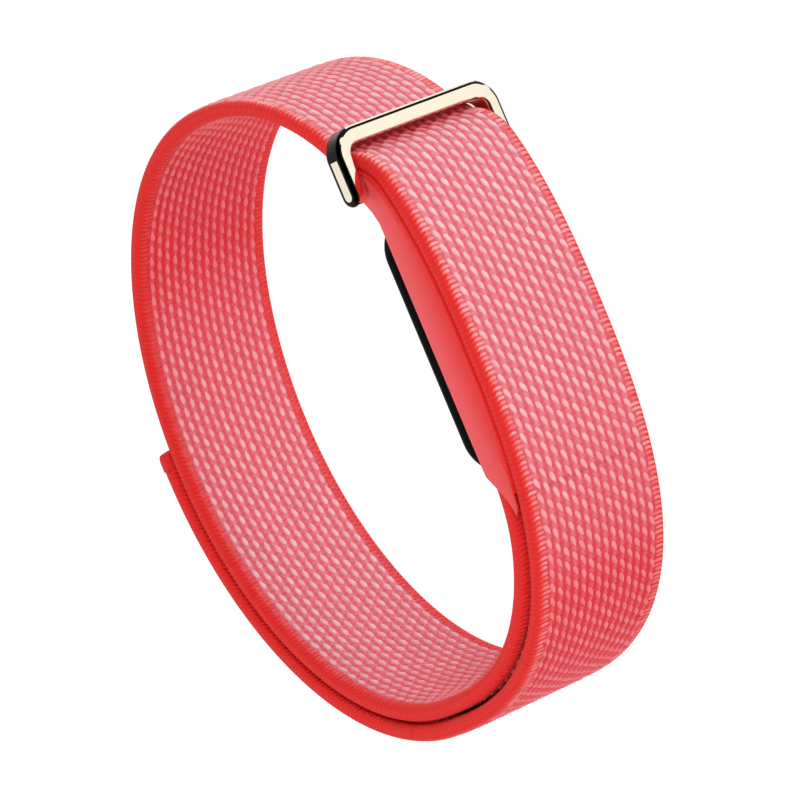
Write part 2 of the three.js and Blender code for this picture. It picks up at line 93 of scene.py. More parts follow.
# How finely the middle line is drawn, and over how many steps its corners are rounded.
ANGLE_STEP = 0.5
LINE_STEP = 0.1
LINE_ROUNDING = 6

# ---- the knit: rows along the strap, columns across it, and a float of yarn on each stitch ----
ROW = 1.548
COLUMN = 1.087
COLUMNS = 16
BODY_HALF = 0.78
BODY_HALF_WIDTH = HALF_WIDTH - 0.1
BODY_CORNER = 0.55
BODY_STEP = 0.4
# Painted sheen: the yarn is drawn paler on faces that look along this way, as if lit from there, and is kept
# red by the crease as painted shade.
SHEEN_LIGHT_WAY = (-0.5, 0.866)
SHEEN_OUTER_FROM = 0.4
SHEEN_INNER_FROM = 0.45
CREASE_SHADE_MARGIN = 1.0
CREASE_SHADE_FADE = 2.5
FLOAT_ALONG = np.array([-0.82, -0.5, -0.05, 0.42, 0.8])
FLOAT_ACROSS = np.array([-1, -0.6, 0, 0.6, 1])
FLOAT_LENGTH = 0.72
FLOAT_WIDTH = 0.285
FLOAT_HEIGHT = 0.28
FLOAT_SINK = 0.08
OUTER_LEAN = 0.4
INNER_LEAN = 0.12
FIRST_FLOAT = 1.2
LENGTH_RANGE = (0.93, 1.05)
WIDTH_RANGE = (0.92, 1.08)
TONE_RANGE = (0.82, 1.0)
LEAN_SPREAD = 0.06
ALONG_SPREAD = 0.02
ACROSS_SPREAD = 0.015
FINE_FLOATS = {"size": 0.8, "shift": 0.5, "tone": 0.5, "height": 0.6}

# ---- the stitches that bind the strap's edges: a tick is a stitch's pale end, which shows on a face ----
RIBS_PER_ROW = 3
RIB_ACROSS = np.array([-1, -0.6, 0, 0.6, 1])
RIB_WIDTH = 0.165
RIB_HEIGHT = 0.17
RIB_SINK = 0.03
RIB_LEAN = 0.2
TICK_START = 7.42
TICK_PALE = (0.8, 1, 1, 0.8, 0.3, 0.05, 0)
TICK_RISE = (0.3, 1, 1, 0.75, 0.35, 0.2, 0.2)
OUTER_TICK = 1.0
INNER_TICK = 0.35
TICK_START_SPREAD = 0.25
TICK_TONE_RANGE = (0.45, 1)
RIB_SPREAD = 0.03
EDGE_MARGIN = 0.3
EDGE_FADE = 0.6

# ---- the hook tape and the tail's tip ----
TAPE_TOP = -0.7
TAPE_BOTTOM = -0.86
HOOK_FOOT = -0.84
HOOK_PITCH = 0.55
HOOK_RADIUS = 0.05
HOOK_SIDES = 4
HOOK_LEAN = np.array([0.0, 0.02, 0.1, 0.2, 0.24])
HOOK_RISE = np.array([0.0, 0.1, 0.16, 0.15, 0.08])
HOOK_MARGIN = 0.4
HOOK_SHIFT = 0.12
TAPE_END_GAP = 1.0
TAPE_SIDE_GAP = 1.2
NOSE = 1.15
TIP_THINNER = 0.1
TIP_NARROWER = 0.07

# ---- the carrier's soft rim and the thin ends of its side walls ----
LIP_REACH = (1.4, 40.5)
LIP_TOP = -0.9
LIP_DEPTH = -1.9
LIP_CORNER = 0.15
CHEEK = ((11.3, 22.82), (12.3, 22.85), (13.1, 23.35), (14.3, 24.1), (15.8, 24.75), (17.0, 25.0),
         (16.2, 25.55), (13.0, 26.1), (11.3, 26.1))
CHEEK_DEPTH = 0.2
CHEEK_PROUD = 0.02

# ---- the slide ring ----
ring_low, ring_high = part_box("slide_ring")
PIN = (-18.6, 22.35)
ARM_OUT = (ring_high.z - ring_low.z) * 500
ARM_IN = HALF_WIDTH + 0.3
BAR_LEFT = MIDDLE_X - ring_high.x * 1000
BAR_WIDTH = 1.9
BAR_RIGHT = BAR_LEFT + BAR_WIDTH
RING_HALF = (ring_high.y - ring_low.y) * 500
ARM_END = PIN[0] + RING_HALF
RING_CORNER = 2.9
RING_INNER_CORNER = 1.2
RING_ROUNDING = 0.45
PANEL_RIM = 0.2
# The ring's three materials: bright gold, a painted dark reflection and painted shade.
BRIGHT, DARK_REFLECTION, SHADED = range(3)


def to_row(points):
    """Points drawn round the loop's middle in millimetres, as metres in the row frame."""
    p = np.asarray(points, float).reshape(-1, 3)
    return np.column_stack([MIDDLE_X - p[:, 0], -p[:, 2], MIDDLE_Z - p[:, 1]]) / 1000


def srgb(r, g, b):
    """A screen colour as linear light."""
    def lin(c):
        c /= 255
        return c / 12.92 if c <= 0.04045 else ((c + 0.055) / 1.055) ** 2.4
    return lin(r), lin(g), lin(b), 1.0


# ---- the strap's middle line ----
def oval(length, height, fullness, degrees):
    """A superellipse's point and outward normal at a polar angle."""
    c, s = math.cos(math.radians(degrees)), math.sin(math.radians(degrees))
    r = (abs(c / length) ** fullness + abs(s / height) ** fullness) ** (-1 / fullness)
    nx = math.copysign(abs(r * c / length) ** (fullness - 1) / length, c)
    nz = math.copysign(abs(r * s / height) ** (fullness - 1) / height, s)
    n = math.hypot(nx, nz)
    return np.array([r * c, r * s]), np.array([nx / n, nz / n])


def skin(degrees):
    """The strap's inner face, where it lies on the skin, and its outward normal."""
    right = math.cos(math.radians(degrees)) > 0
    upper = RIGHT_FULLNESS if right else LEFT_FULLNESS
    up = math.sin(math.radians(degrees)) > 0
    return oval(SKIN_LENGTH, SKIN_HEIGHT, upper if up else LOWER_FULLNESS, degrees)


def outer(degrees):
    """The strap's outer face where it is the second layer, and its outward normal."""
    up = math.sin(math.radians(degrees)) > 0
    return oval(OUTER_LENGTH, OUTER_HEIGHT, RIGHT_FULLNESS if up else LOWER_FULLNESS, degrees)


def bezier(a, b, c, d, count):
    """Points of a cubic curve from a to d."""
    t = np.linspace(0, 1, count)[:, None]
    return (1 - t) ** 3 * a + 3 * (1 - t) ** 2 * t * b + 3 * (1 - t) * t ** 2 * c + t ** 3 * d


def left_normals(line):
    """Unit normals to the left of a line's way."""
    d = np.gradient(line, axis=0)
    d /= np.linalg.norm(d, axis=1)[:, None]
    return np.column_stack([-d[:, 1], d[:, 0]])


def middle_line():
    """The strap's middle line from its sewn end to its tip, in evenly spaced points."""
    end, end_n = skin(LEAD_IN_ANGLE)
    start = np.array(START)
    tangent = np.array([end_n[1], -end_n[0]])
    lead = bezier(start, start + [START_REACH, 0], end - LEAD_IN_REACH * tangent, end, 40)
    angles = np.arange(LEAD_IN_ANGLE - ANGLE_STEP, RING_END_ANGLE - 360, -ANGLE_STEP)
    around = np.array([skin(a)[0] for a in angles])
    first = np.vstack([lead, around])
    first = first + THICKNESS / 2 * left_normals(first)
    ring, ring_n = skin(RING_END_ANGLE)
    run = np.array([ring_n[1], -ring_n[0]])
    crease = ring + THICKNESS * ring_n + (JOINT_GAP + CREASE_RUN) * run
    settle, settle_n = outer(FOLD_ANGLE)
    ahead = np.array([settle_n[1], -settle_n[0]])
    fold = bezier(crease, crease + [-0.1 * FOLD_RISE, FOLD_RISE], settle - FOLD_REACH * ahead, settle, 60)
    angles = np.arange(FOLD_ANGLE - ANGLE_STEP, TAIL_ANGLES[-1] - 0.01, -ANGLE_STEP)
    over = np.array([outer(a)[0] for a in angles])
    second = np.vstack([fold, over])
    second = second - THICKNESS / 2 * left_normals(second)
    line = np.vstack([first, second])
    return even(smooth(even(line, LINE_STEP), LINE_ROUNDING), LINE_STEP)


def even(line, step):
    """The same line with its points a fixed step apart."""
    length = np.concatenate([[0], np.cumsum(np.linalg.norm(np.diff(line, axis=0), axis=1))])
    at = np.linspace(0, length[-1], int(length[-1] / step) + 1)
    return np.column_stack([np.interp(at, length, line[:, k]) for k in (0, 1)])


def smooth(line, width):
    """Rounds a line's corners, with both its ends kept."""
    reach = 3 * width
    weights = np.exp(-0.5 * (np.arange(-reach, reach + 1) / width) ** 2)
    weights /= weights.sum()
    before = 2 * line[0] - line[reach:0:-1]
    after = 2 * line[-1] - line[-2:-reach - 2:-1]
    padded = np.vstack([before, line, after])
    return np.column_stack([np.convolve(padded[:, k], weights, "valid") for k in (0, 1)])


LINE = middle_line()
LINE_N = left_normals(LINE)
LINE_S = np.concatenate([[0], np.cumsum(np.linalg.norm(np.diff(LINE, axis=0), axis=1))])
LENGTH = LINE_S[-1]
crease_index = int(np.argmin(np.linalg.norm(LINE - CREASE_POINT, axis=1)))
CREASE_S = LINE_S[crease_index]
first_polar = np.degrees(np.unwrap(np.arctan2(LINE[:crease_index, 1], LINE[:crease_index, 0])))
COVERED_S = float(np.interp(-TAIL_ANGLES[-1], -first_polar, LINE_S[:crease_index]))


def angle_s(degrees):
    """How far along the strap its second layer reaches a polar angle."""
    polar = np.degrees(np.unwrap(np.arctan2(LINE[crease_index:, 1], LINE[crease_index:, 0])))
    return float(np.interp(-degrees, -polar, LINE_S[crease_index:]))


def on_strap(s, y, n):
    """Strap coordinates (along, across, out from the middle) as row-frame points."""
    s = np.asarray(s, float)
    past = s - np.clip(s, 0, LENGTH)
    px, pz = (np.interp(s, LINE_S, LINE[:, k]) for k in (0, 1))
    nx, nz = (np.interp(s, LINE_S, LINE_N[:, k]) for k in (0, 1))
    size = np.hypot(nx, nz)
    nx, nz = nx / size, nz / size
    gathered = np.exp(-((s - CREASE_S) / FOLD_GATHER_LENGTH) ** 2)
    y = y * (1 + FOLD_WIDENING * gathered)
    n = np.where(np.asarray(n) > 0, n * (1 + FOLD_SWELLING * gathered), n)
    return to_row(np.column_stack([px + n * nx + past * nz, y, pz + n * nz - past * nx]))


def in_view(s, face):
    """1 where a face of the closed band is bare and 0 where another layer lies on it."""
    if face > 0:
        return np.where(s > CREASE_S, 1.0, s > COVERED_S)
    return np.where(s > CREASE_S, 0.0, 1.0)


def painted_sheen(s, face):
    """Painted sheen: how much paler the yarn is drawn, most where a face looks up and towards the ring end,
    as if lit from there; none near the crease, as painted shade, and none where another layer covers the
    face.
    """
    nx, nz = (np.interp(s, LINE_S, LINE_N[:, k]) for k in (0, 1))
    lit = face * (nx * SHEEN_LIGHT_WAY[0] + nz * SHEEN_LIGHT_WAY[1]) / np.hypot(nx, nz)
    start = SHEEN_OUTER_FROM if face > 0 else SHEEN_INNER_FROM
    crease_shade = np.clip((np.abs(s - CREASE_S) - CREASE_SHADE_MARGIN) / CREASE_SHADE_FADE, 0, 1)
    return np.clip((lit - start) / (1 - start), 0, 1) * in_view(s, face) * crease_shade


# ---- meshes ----
class Mesh:
    """Collects vertices with a tone, a painted sheen and a place on the weave, and faces with a material
    each.
    """

    def __init__(self):
        self.verts, self.faces, self.tones, self.pales, self.slots, self.uvs = [], [], [], [], [], []
        self.count = 0

    def add(self, points, faces, tone, slot, uv, pale=0.0):
        self.verts.append(points)
        self.pales.append(np.broadcast_to(pale, len(points)))
        self.faces.extend([tuple(i + self.count for i in f) for f in faces])
        self.tones.append(np.broadcast_to(tone, len(points)))
        self.slots.extend([slot] * len(faces))
        self.uvs.append(uv)
        self.count += len(points)

    def build(self, name, materials):
        data = bpy.data.meshes.new(name)
        data.from_pydata(np.vstack(self.verts).tolist(), [], self.faces)
        for label, values in (("tone", self.tones), ("pale", self.pales)):
            layer = data.attributes.new(label, "FLOAT", "POINT")
            layer.data.foreach_set("value", np.concatenate(values).astype(np.float32))
        uv = np.vstack(self.uvs)
        loops = np.zeros(len(data.loops), np.int32)
        data.loops.foreach_get("vertex_index", loops)
        layer = data.uv_layers.new(name="weave")
        layer.data.foreach_set("uv", uv[loops].astype(np.float32).ravel())
        data.polygons.foreach_set("material_index", np.array(self.slots, np.int32))
        data.polygons.foreach_set("use_smooth", np.ones(len(data.polygons), bool))
        for m in materials:
            data.materials.append(m)
        data.validate()
        data.update()
        obj = bpy.data.objects.new(name, data)
        bpy.context.scene.collection.objects.link(obj)
        return obj


def grid_faces(rows, columns, closed=False):
    """Quads of a grid whose vertices are numbered row by row."""
    span = columns if closed else columns - 1
    return [
        (r * columns + c, r * columns + (c + 1) % columns,
         (r + 1) * columns + (c + 1) % columns, (r + 1) * columns + c)
        for r in range(rows - 1) for c in range(span)
    ]


def section():
    """The strap body's outline, as across and out: a rectangle with round corners."""
    flat = BODY_HALF_WIDTH - BODY_CORNER
    side = BODY_HALF - BODY_CORNER
    face = np.linspace(-flat, flat, 34)
    bend = np.radians(np.linspace(0, 90, 5))[1:-1]
    turn_y, turn_n = BODY_CORNER * np.sin(bend), BODY_CORNER * np.cos(bend)
    right = np.column_stack([flat + turn_y, side + turn_n])
    edge = np.array([[BODY_HALF_WIDTH, side], [BODY_HALF_WIDTH, -side]])
    upper = np.column_stack([face, np.full(len(face), BODY_HALF)])
    half = np.vstack([upper, right, edge, (right * [1, -1])[::-1]])
    return np.vstack([half, half * [-1, -1]])


def add_body(mesh, s0, s1):
    """The strap's plain body between two places along it, closed at both ends."""
    outline = section()
    count = len(outline)
    rows = max(2, int((s1 - s0) / BODY_STEP))
    s = np.repeat(np.linspace(s0, s1, rows + 1), count)
    y = np.tile(outline[:, 0], rows + 1)
    n = np.tile(outline[:, 1], rows + 1)
    uv = np.column_stack([s / ROW, y / COLUMN + COLUMNS / 2 - 0.5])
    side = np.clip((np.abs(y) - TICK_START - EDGE_MARGIN) / EDGE_FADE, 0, 1)
    faces = grid_faces(rows + 1, count, closed=True)
    faces.append(tuple(range(count))[::-1])
    faces.append(tuple(rows * count + i for i in range(count)))
    pale = np.where(n > 0, painted_sheen(s, 1), painted_sheen(s, -1))
    mesh.add(on_strap(s, y, n), faces, side, 0, uv, pale)


def float_template():
    """One float of yarn: a drop shape with its fuller end first, as along, across and height."""
    a, b = np.meshgrid(FLOAT_ALONG, FLOAT_ACROSS, indexing="ij")
    width = np.sqrt(1 - a ** 2) * (1 - 0.5 * a)
    height = width * np.sqrt(np.clip(1 - b ** 2, 0, 1))
    points = np.column_stack([a.ravel(), (b * width).ravel(), height.ravel()])
    ends = np.array([[-1, 0, 0], [1, 0, 0]])
    faces = [(f[1], f[2], f[3], f[0]) for f in grid_faces(len(FLOAT_ALONG), len(FLOAT_ACROSS))]
    n = len(points)
    last = n - len(FLOAT_ACROSS)
    for c in range(len(FLOAT_ACROSS) - 1):
        faces.append((n, c + 1, c))
        faces.append((n + 1, last + c, last + c + 1))
    return np.vstack([points, ends]), faces


FLOAT_POINTS, FLOAT_FACES = float_template()


def add_floats(mesh, s0, s1, face, skip=None, size=1.0, shift=0.0, tone=1.0, height=1.0):
    """The floats of one face of the strap. face is 1 for the outer one and -1 for the skin's."""
    rows = np.arange(math.ceil((s0 - 1) / ROW), (s1 + 1) / ROW)
    row, column = np.meshgrid(rows, np.arange(1, COLUMNS - 1), indexing="ij")
    s = ((row + shift + 0.5 * (column % 2)) * ROW).ravel()
    y = ((column - COLUMNS / 2 + 0.5) * COLUMN).ravel()
    keep = (s >= max(s0, FIRST_FLOAT)) & (s < s1)
    if skip is not None:
        keep &= (s < skip[0]) | (s > skip[1])
    s, y = s[keep], y[keep]
    count = len(s)
    length = FLOAT_LENGTH * size * rng.uniform(*LENGTH_RANGE, count)
    width = FLOAT_WIDTH * size * rng.uniform(*WIDTH_RANGE, count)
    lean = (OUTER_LEAN if face > 0 else INNER_LEAN) + rng.normal(0, LEAN_SPREAD, count)
    tones = tone * rng.uniform(*TONE_RANGE, count)
    s = s + rng.normal(0, ALONG_SPREAD, count)
    y = y + rng.normal(0, ACROSS_SPREAD, count)
    a, b, rise = FLOAT_POINTS.T
    ahead = length[:, None] * a
    aside = width[:, None] * b
    cos, sin = np.cos(lean)[:, None], np.sin(lean)[:, None]
    along = (s[:, None] + ahead * cos - aside * sin).ravel()
    across = (y[:, None] + (ahead * sin + aside * cos) * face).ravel()
    out = np.tile(face * (BODY_HALF - FLOAT_SINK + height * FLOAT_HEIGHT * rise), count)
    # Painted shade: each float is drawn darker towards its low edges, where it meets the body.
    shade = (tones[:, None] * (0.86 + 0.14 * rise)).ravel()
    each = FLOAT_FACES if face > 0 else [f[::-1] for f in FLOAT_FACES]
    faces = [tuple(i + k * len(a) for i in f) for k in range(count) for f in each]
    uv = np.column_stack([along / ROW, across / COLUMN])
    mesh.add(on_strap(along, across, out), faces, shade, 1, uv, painted_sheen(along, face))


def rib_path():
    """The way of one edge stitch round the strap's side, as across and out, and its normals."""
    flat = BODY_HALF_WIDTH - BODY_CORNER
    side = BODY_HALF - BODY_CORNER
    bend = np.radians(np.linspace(0, 90, 4))
    corner = np.column_stack([flat + BODY_CORNER * np.sin(bend), side + BODY_CORNER * np.cos(bend)])
    normal = np.column_stack([np.sin(bend), np.cos(bend)])
    start = np.array([
        [TICK_START, BODY_HALF - 0.06],
        [TICK_START + EDGE_MARGIN, BODY_HALF],
        [flat - 0.1, BODY_HALF],
    ])
    up = np.tile([0.0, 1.0], (3, 1))
    half = np.vstack([start, corner])
    half_n = np.vstack([up, normal])
    return np.vstack([half, (half * [1, -1])[::-1]]), np.vstack([half_n, (half_n * [1, -1])[::-1]])


RIB, RIB_N = rib_path()


def add_ribs(mesh, s0, s1, side):
    """The stitches that bind one edge, side 1 or -1."""
    pitch = ROW / RIBS_PER_ROW
    s = np.arange(math.ceil(s0 / pitch), s1 / pitch) * pitch
    s = s[s < s1]
    count = len(s)
    rise = np.array(TICK_RISE + TICK_RISE[::-1])
    fade = np.array(TICK_PALE + TICK_PALE[::-1])
    outer_way = np.arange(len(RIB)) < len(RIB) / 2
    first = np.array([1.0, 0.5] + [0.0] * (len(RIB) - 4) + [0.5, 1.0])
    start = rng.uniform(-TICK_START_SPREAD, TICK_START_SPREAD, (count, 1))
    k, j = np.meshgrid(np.arange(len(RIB)), np.arange(len(RIB_ACROSS)), indexing="ij")
    k, j = k.ravel(), j.ravel()
    raised = RIB_HEIGHT * rise[k] * np.sqrt(np.clip(1 - RIB_ACROSS[j] ** 2, 0, 1)) - RIB_SINK
    y = RIB[k, 0] + raised * RIB_N[k, 0] - start * first[k]
    n = RIB[k, 1] + raised * RIB_N[k, 1]
    along = s[:, None] + RIB_WIDTH * RIB_ACROSS[j] - RIB_LEAN * fade[k]
    along = along + rng.normal(0, RIB_SPREAD, (count, 1))
    # Painted shade: ticks on a face that another layer covers are drawn darker.
    seen = np.where(outer_way[k], in_view(along, 1), in_view(along, -1))
    strength = np.where(outer_way[k], OUTER_TICK, INNER_TICK)
    tone = fade[k] * strength * rng.uniform(*TICK_TONE_RANGE, (count, 1)) * (0.2 + 0.8 * seen)
    pale = np.where(n > 0, painted_sheen(along, 1), painted_sheen(along, -1))
    each = grid_faces(len(RIB), len(RIB_ACROSS))
    if side > 0:
        each = [f[::-1] for f in each]
    faces = [tuple(i + q * len(k) for i in f) for q in range(count) for f in each]
    points = on_strap(along.ravel(), (side * y).ravel(), np.tile(n, count))
    uv = np.column_stack([along.ravel() / ROW, y.ravel()])
    mesh.add(points, faces, tone.ravel(), 2, uv, pale.ravel())


def strap_piece(name, s0, s1, skip_inside=None):
    """One stretch of the strap: its body, the floats of both faces and the stitches of both edges."""
    mesh = Mesh()
    add_body(mesh, s0, s1)
    for style in ({}, FINE_FLOATS):
        add_floats(mesh, s0, s1, 1, **style)
        add_floats(mesh, s0, s1, -1, skip=skip_inside, **style)
    for side in (1, -1):
        add_ribs(mesh, s0, s1, side)
    return mesh.build(name, [knit_ground, knit_float, edge_stitch])


# ---- colours ----
WHITE = (1, 1, 1, 1)
EDGE_RED = srgb(232, 40, 38)
# Each yarn has a red ramp and a paler ramp; the paler one is painted sheen, the same yarn drawn lighter where
# a face looks towards the light.
GROUND_RED = [(0.1, srgb(216, 42, 52)), (0.9, srgb(232, 66, 74))]
GROUND_LIT = [(0.1, srgb(226, 98, 116)), (0.9, srgb(240, 138, 150))]
FLOAT_RED = [(0.0, srgb(228, 50, 58)), (0.5, srgb(236, 78, 88)), (1.0, srgb(244, 124, 134))]
FLOAT_LIT = [(0.0, srgb(228, 96, 112)), (0.5, srgb(240, 148, 160)), (1.0, srgb(252, 214, 218))]
STITCH_RED = [(0.0, EDGE_RED), (0.3, srgb(238, 58, 56)), (0.9, srgb(246, 128, 128))]
STITCH_LIT = [(0.0, EDGE_RED), (0.3, srgb(240, 70, 68)), (0.9, srgb(252, 176, 176))]
# Painted highlight: the carrier's wall is drawn paler coral towards the skin side and red at the strap.
MOULDING = [(0.1, srgb(243, 86, 90)), (0.6, srgb(241, 72, 76)), (1.0, srgb(236, 50, 50))]

# ---- the finishes' fine grain, as waves to a metre and depths in metres, and the carrier's shading ----
MOULD_SCALE = 900.0
MOULD_DEPTH = 0.00001
PATCH_SCALE = 1500
FIBRE_SCALE = 9000
FIBRE_DEPTH = 0.00005
GROUND_SCALE = 2500
GROUND_DEPTH = 0.00012
GRADE_START = 0.0228
GRADE_DEPTH = 0.0038


# ---- materials ----
def new_material(name):
    """A material with nodes, and its nodes, links and shader."""
    material = bpy.data.materials.new(name)
    material.use_nodes = True
    nodes = material.node_tree.nodes
    return material, nodes, material.node_tree.links, nodes["Principled BSDF"]


def noise(nodes, links, scale, detail=3.0):
    """Noise fixed to the object."""
    place = nodes.new("ShaderNodeTexCoord")
    texture = nodes.new("ShaderNodeTexNoise")
    texture.inputs["Scale"].default_value = scale
    texture.inputs["Detail"].default_value = detail
    texture.inputs["Roughness"].default_value = 0.6
    links.new(place.outputs["Object"], texture.inputs["Vector"])
    return texture


def ramp(nodes, links, value, stops):
    """Turns a value into a colour by (place, colour) stops."""
    node = nodes.new("ShaderNodeValToRGB")
    elements = node.color_ramp.elements
    while len(elements) < len(stops):
        elements.new(0.5)
    for element, (at, colour) in zip(elements, stops):
        element.position = at
        element.color = colour
    links.new(value, node.inputs["Fac"])
    return node


def math_node(nodes, links, operation, *values):
    """One step of arithmetic on sockets and plain numbers."""
    node = nodes.new("ShaderNodeMath")
    node.operation = operation
    for socket, value in zip(node.inputs, values):
        if isinstance(value, (int, float)):
            socket.default_value = value
        else:
            links.new(value, socket)
    return node.outputs[0]


def bump(nodes, links, shader, height, distance, strength):
    """Raises a shader's surface by a height, at most by a distance in metres."""
    node = nodes.new("ShaderNodeBump")
    node.inputs["Distance"].default_value = distance
    node.inputs["Strength"].default_value = strength
    links.new(height, node.inputs["Height"])
    links.new(node.outputs["Normal"], shader.inputs["Normal"])


def attribute(nodes, name):
    """A number that each vertex holds."""
    node = nodes.new("ShaderNodeAttribute")
    node.attribute_name = name
    return node.outputs["Fac"]


def blend_colours(nodes, links, factor, a, b):
    """A mix of two colours, each a socket or a value."""
    mix = nodes.new("ShaderNodeMix")
    mix.data_type = "RGBA"
    links.new(factor, mix.inputs["Factor"])
    for label, value in (("A", a), ("B", b)):
        socket = [i for i in mix.inputs if i.name == label and i.type == "RGBA"][0]
        if isinstance(value, tuple):
            socket.default_value = value
        else:
            links.new(value, socket)
    return [o for o in mix.outputs if o.type == "RGBA"][0]


def yarn(name, red_stops, pale_stops):
    """Yarn coloured by each vertex's tone and painted sheen, with fine fibres along it."""
    material, nodes, links, shader = new_material(name)
    patches = noise(nodes, links, PATCH_SCALE, detail=2.0)
    offset = math_node(nodes, links, "MULTIPLY_ADD", patches.outputs["Fac"], 0.24, -0.12)
    mixed = math_node(nodes, links, "ADD", attribute(nodes, "tone"), offset)
    red = ramp(nodes, links, mixed, red_stops).outputs["Color"]
    pale = ramp(nodes, links, mixed, pale_stops).outputs["Color"]
    base = blend_colours(nodes, links, attribute(nodes, "pale"), red, pale)
    links.new(base, shader.inputs["Base Color"])
    shader.inputs["Roughness"].default_value = 0.7
    shader.inputs["Sheen Weight"].default_value = 0.15
    shader.inputs["Sheen Roughness"].default_value = 0.5
    fibres = noise(nodes, links, FIBRE_SCALE, detail=2.0)
    bump(nodes, links, shader, fibres.outputs["Fac"], distance=FIBRE_DEPTH, strength=0.5)
    return material


def ground_material():
    """The strap's body: darker between the floats as painted shade, lighter where it has painted sheen, and
    red on the sides.
    """
    material, nodes, links, shader = new_material("knit_ground")
    weave = nodes.new("ShaderNodeUVMap")
    weave.uv_map = "weave"
    split = nodes.new("ShaderNodeSeparateXYZ")
    links.new(weave.outputs["UV"], split.inputs["Vector"])
    waves = [
        math_node(nodes, links, "COSINE", math_node(nodes, links, "MULTIPLY", split.outputs[way], turn))
        for way, turn in ((0, math.tau), (1, math.pi))
    ]
    pattern = math_node(nodes, links, "ABSOLUTE", math_node(nodes, links, "MULTIPLY", *waves))
    grain = noise(nodes, links, GROUND_SCALE, detail=2.0)
    shade = math_node(nodes, links, "MULTIPLY_ADD", grain.outputs["Fac"], 0.35, pattern)
    red = ramp(nodes, links, shade, GROUND_RED).outputs["Color"]
    pale = ramp(nodes, links, shade, GROUND_LIT).outputs["Color"]
    face = blend_colours(nodes, links, attribute(nodes, "pale"), red, pale)
    base = blend_colours(nodes, links, attribute(nodes, "tone"), face, EDGE_RED)
    links.new(base, shader.inputs["Base Color"])
    shader.inputs["Roughness"].default_value = 0.85
    bump(nodes, links, shader, shade, distance=GROUND_DEPTH, strength=0.6)
    return material


def plain(name, colour, roughness, metallic=0.0, spread=0.06, rough_spread=0.08,
          depth=MOULD_DEPTH, coat=0.0, specular=0.5):
    """A solid finish with a slight mottle in its colour, gloss and surface."""
    material, nodes, links, shader = new_material(name)
    texture = noise(nodes, links, MOULD_SCALE)
    dark = tuple(c * (1 - spread) for c in colour[:3]) + (1,)
    light = tuple(min(1, c * (1 + spread)) for c in colour[:3]) + (1,)
    base = ramp(nodes, links, texture.outputs["Fac"], [(0.3, dark), (0.7, light)])
    links.new(base.outputs["Color"], shader.inputs["Base Color"])
    gloss = math_node(nodes, links, "MULTIPLY_ADD", texture.outputs["Fac"], rough_spread,
                      roughness - rough_spread / 2)
    links.new(gloss, shader.inputs["Roughness"])
    shader.inputs["Metallic"].default_value = metallic
    shader.inputs["Coat Weight"].default_value = coat
    shader.inputs["Specular IOR Level"].default_value = specular
    if depth:
        bump(nodes, links, shader, texture.outputs["Fac"], distance=depth, strength=0.4)
    return material


def moulding_with_painted_highlight():
    """Satin moulding drawn paler coral at its skin side, which is painted highlight, and red at the strap."""
    material, nodes, links, shader = new_material("coral_moulding")
    texture = noise(nodes, links, MOULD_SCALE)
    place = nodes.new("ShaderNodeTexCoord")
    split = nodes.new("ShaderNodeSeparateXYZ")
    links.new(place.outputs["Object"], split.inputs["Vector"])
    level = math_node(nodes, links, "MULTIPLY_ADD", split.outputs[1], -1 / GRADE_DEPTH,
                      -GRADE_START / GRADE_DEPTH)
    mottled = math_node(nodes, links, "MULTIPLY_ADD", texture.outputs["Fac"], 0.12, level)
    base = ramp(nodes, links, mottled, MOULDING)
    links.new(base.outputs["Color"], shader.inputs["Base Color"])
    shader.inputs["Roughness"].default_value = 0.5
    bump(nodes, links, shader, texture.outputs["Fac"], distance=MOULD_DEPTH, strength=0.4)
    return material


knit_ground = ground_material()
knit_float = yarn("knit_float", FLOAT_RED, FLOAT_LIT)
edge_stitch = yarn("edge_stitch", STITCH_RED, STITCH_LIT)
coral = moulding_with_painted_highlight()
gold = plain("pale_gold", srgb(246, 236, 214), 0.05, 1.0, spread=0.01, rough_spread=0.02, depth=0)
# Painted dark reflection: near-black metal for the ring's bevels and the edges that turn away, where polished
# gold would mirror something dark.
dark_reflection = plain("painted_dark_reflection", srgb(30, 27, 24), 0.12, 1.0, spread=0.02, rough_spread=0.02, depth=0)
# Painted shade and painted reflection: the ring's inner faces by the bar are drawn as the red strap mirrored
# in shade.
gold_shade = plain("gold_in_shade", srgb(196, 60, 52), 0.3, 0.6, spread=0.03)
piano = plain("piano_black", srgb(6, 6, 7), 0.12, spread=0.1, rough_spread=0.02, depth=0, specular=0.02)
slot_looks = {
    "pin_steel": plain("ground_steel", srgb(196, 198, 202), 0.28, 1.0),
    "gasket_rubber": plain("gasket_rubber", srgb(42, 42, 45), 0.7),
    "window_glass": plain("window_dark", srgb(16, 16, 26), 0.05, depth=0, coat=0.5),
    "black_plastic": plain("black_plastic", srgb(24, 24, 26), 0.5),
    "board_green": plain("board_green", srgb(24, 92, 56), 0.4),
    "emitter_green": plain("emitter_green", srgb(96, 214, 130), 0.2),
    "emitter_red": plain("emitter_red", srgb(200, 60, 60), 0.2),
    "contact_metal": plain("contact_gold", srgb(224, 184, 100), 0.2, 1.0),
    "battery_foil": plain("battery_foil", srgb(188, 192, 200), 0.35, 0.9, spread=0.1),
    "battery_tape": plain("battery_tape", srgb(230, 226, 214), 0.6),
    "hook_tape": plain("hook_base", srgb(202, 42, 54), 0.8),
    "sewn_edge": plain("sewn_edge_plain", srgb(228, 44, 44), 0.8),
    "knit": knit_ground,
    "carrier_moulding": coral,
    "ring_metal": gold,
    "pod_gloss": piano,
}
for part in frame["record"]["subparts"]:
    node = frame["nodes"][part["node"]]
    node.data.materials.clear()
    node.data.materials.append(slot_looks[part["material_slot"]])

lip_red = plain("lip_red", srgb(234, 44, 42), 0.6, spread=0.05)
hook_stem = plain("hook_stem", srgb(232, 84, 92), 0.35, depth=0)

